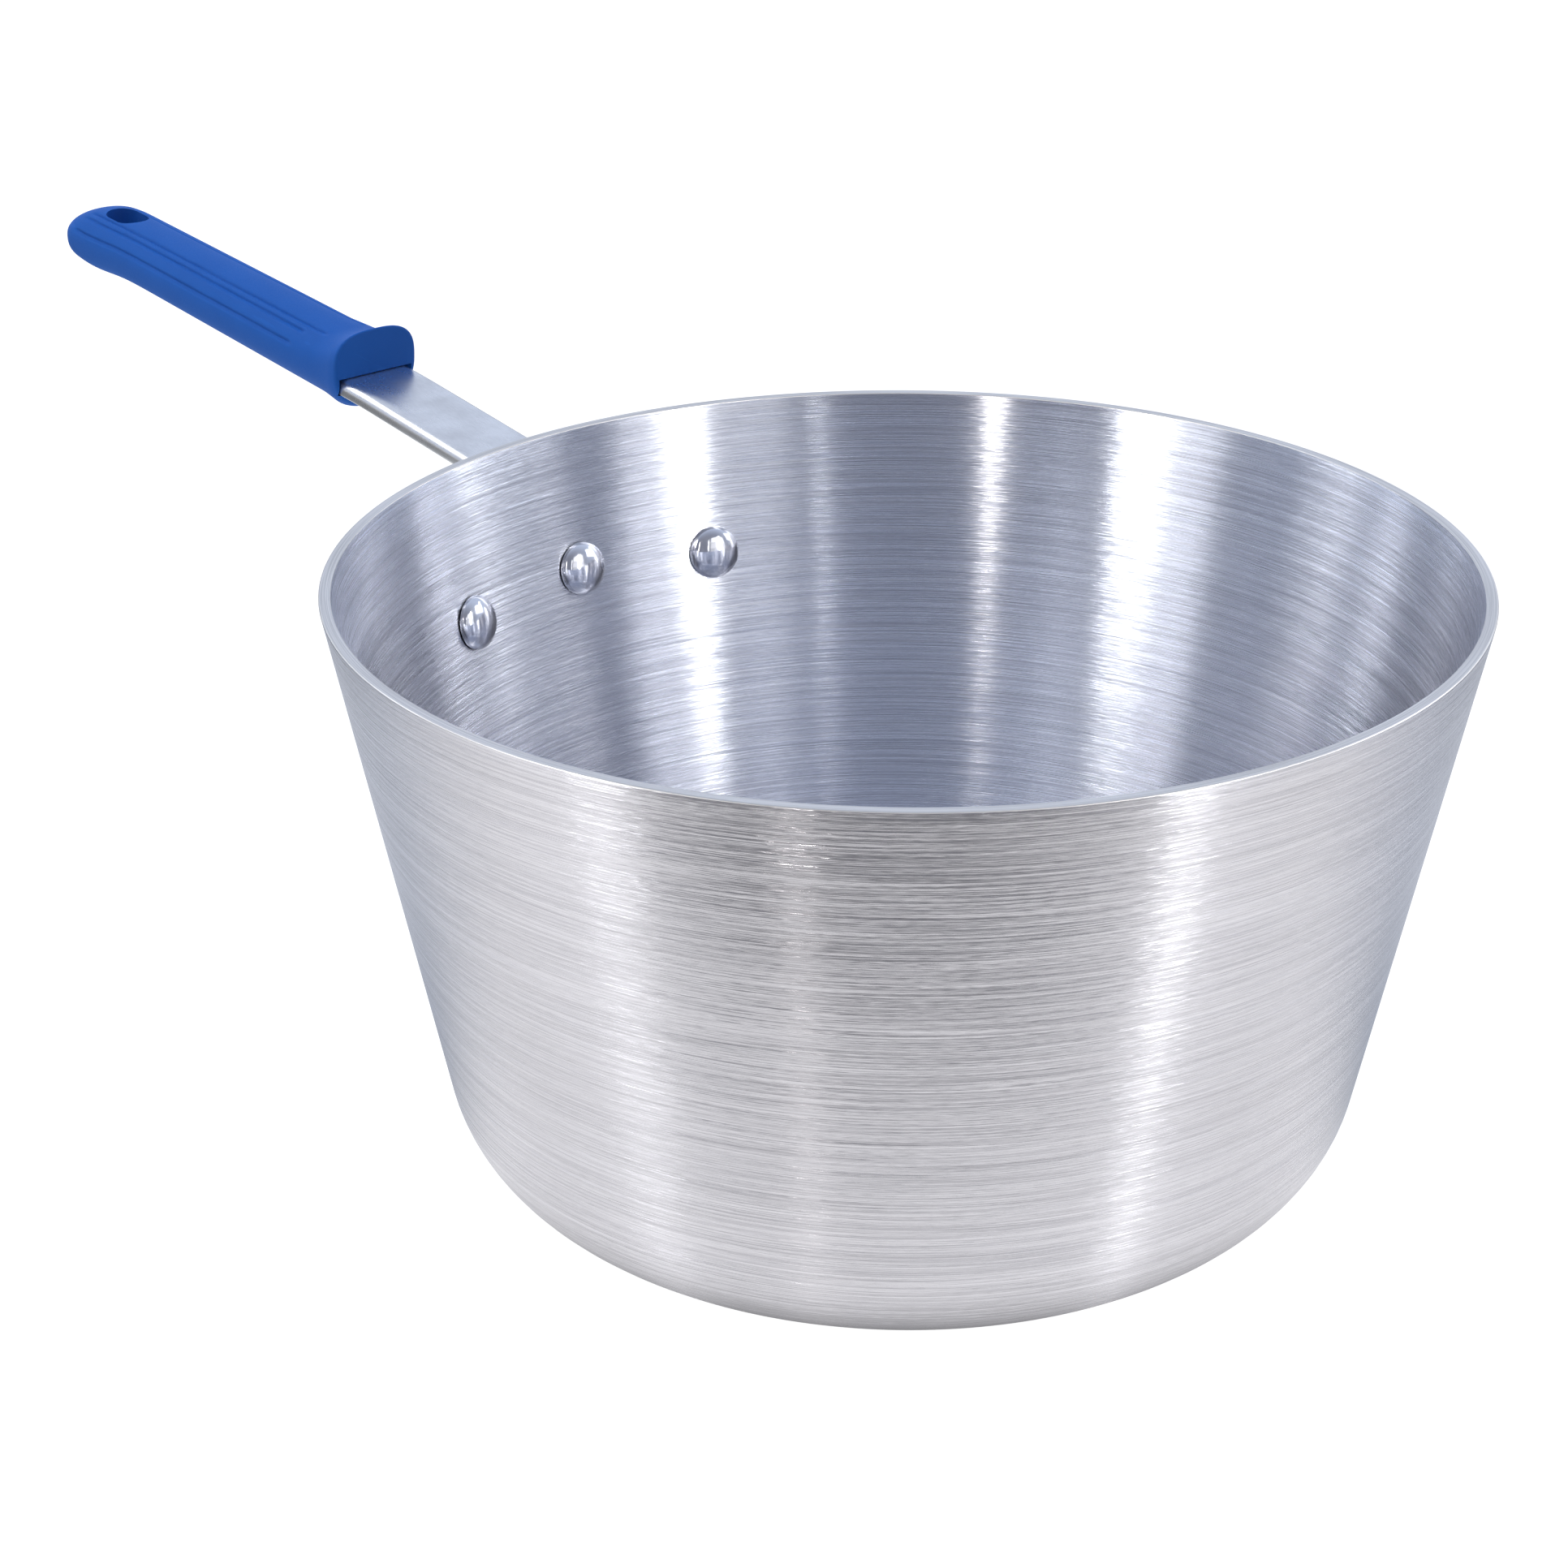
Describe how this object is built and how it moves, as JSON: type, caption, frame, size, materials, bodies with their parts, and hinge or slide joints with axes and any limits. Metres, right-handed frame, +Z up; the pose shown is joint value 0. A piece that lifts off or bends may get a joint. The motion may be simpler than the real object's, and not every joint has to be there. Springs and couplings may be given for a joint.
{
  "type": "sauce pan",
  "caption": "Deep tapered aluminium sauce pan with rounded bottom, riveted plated-steel handle and a slip-on silicone grip sleeve with a hang hole.",
  "frame": {"origin": "centre of the underside of the pan's base", "axes": "+Z up along the pan's axis, +X along the handle away from the pan"},
  "size_m": [0.5107, 0.2738, 0.1677],
  "materials": {
    "aluminium": "brushed around the axis, coarse outside and finer inside",
    "plated_steel": "satin nickel-chrome plating with brighter rolled edges",
    "rivets": "polished",
    "silicone": "matte moulded blue silicone"
  },
  "bodies": {
    "pan": {"pan_shell": "aluminium", "handle": "plated_steel", "rivet_left": "rivets", "rivet_middle": "rivets", "rivet_right": "rivets"},
    "grip": {"grip_sleeve": "silicone"}
  },
  "joints": [
    {"name": "grip_slide", "type": "slide", "parent": "pan", "child": "grip", "axis": [0.9965, 0, 0.0837], "range_m": [0, 0.16]}
  ]
}
